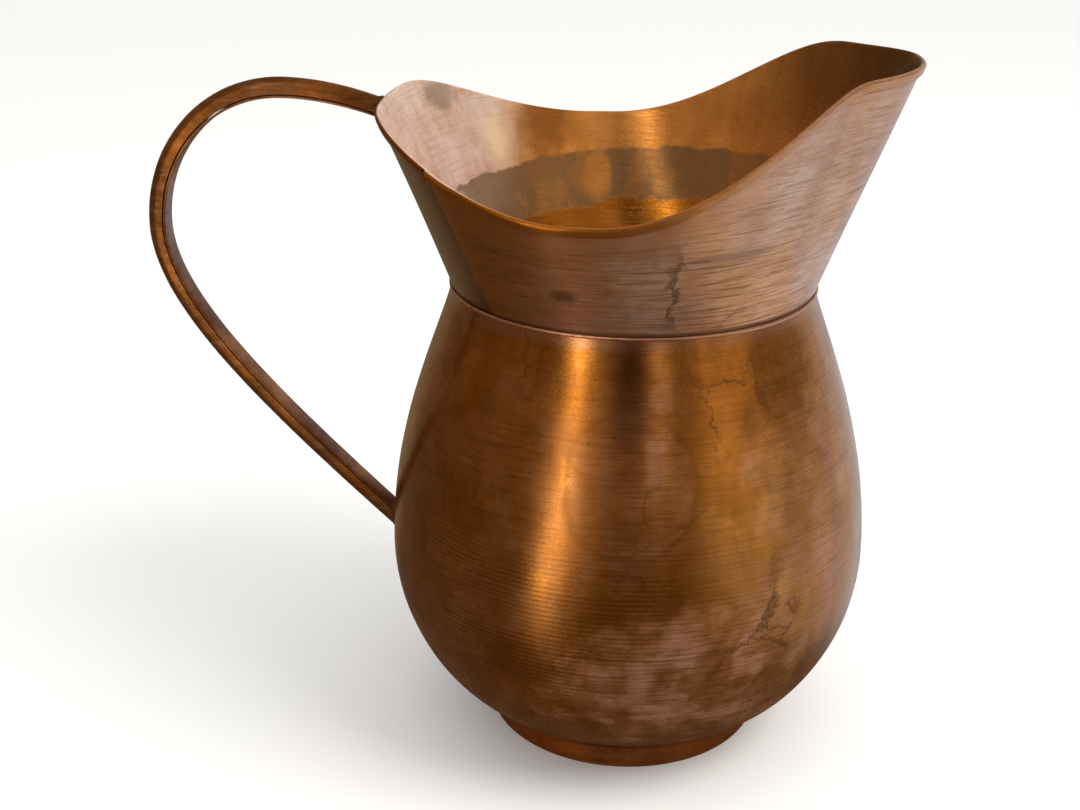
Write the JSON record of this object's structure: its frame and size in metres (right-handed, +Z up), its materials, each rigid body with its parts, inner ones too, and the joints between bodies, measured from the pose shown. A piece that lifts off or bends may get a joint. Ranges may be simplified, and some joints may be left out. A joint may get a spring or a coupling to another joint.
{
  "type": "copper water jug",
  "caption": "Copper water jug with a spun belly, a flaring sheet collar pinched to a pouring lip, a foot ring and a tall hollow loop handle, brazed together.",
  "frame": {"origin": "middle of the overall length and width, on the ground under the foot ring", "axes": "+X towards the pouring lip, -X towards the handle, +Z up; the belly's own axis is vertical at x = 0.0447"},
  "size_m": [0.301, 0.1992, 0.2812],
  "materials": {
    "belly_copper": "satin",
    "collar_copper": "satin",
    "braze": "satin",
    "foot_copper": "satin",
    "handle_copper": "satin"
  },
  "bodies": {
    "root": {"belly": "belly_copper", "collar": "collar_copper", "collar_seam_braze": "braze", "neck_bead": "braze", "foot_ring": "foot_copper", "foot_braze": "braze", "handle_shell": "handle_copper", "handle_strip": "handle_copper", "handle_top_braze": "braze", "handle_foot_braze": "braze"}
  },
  "joints": []
}
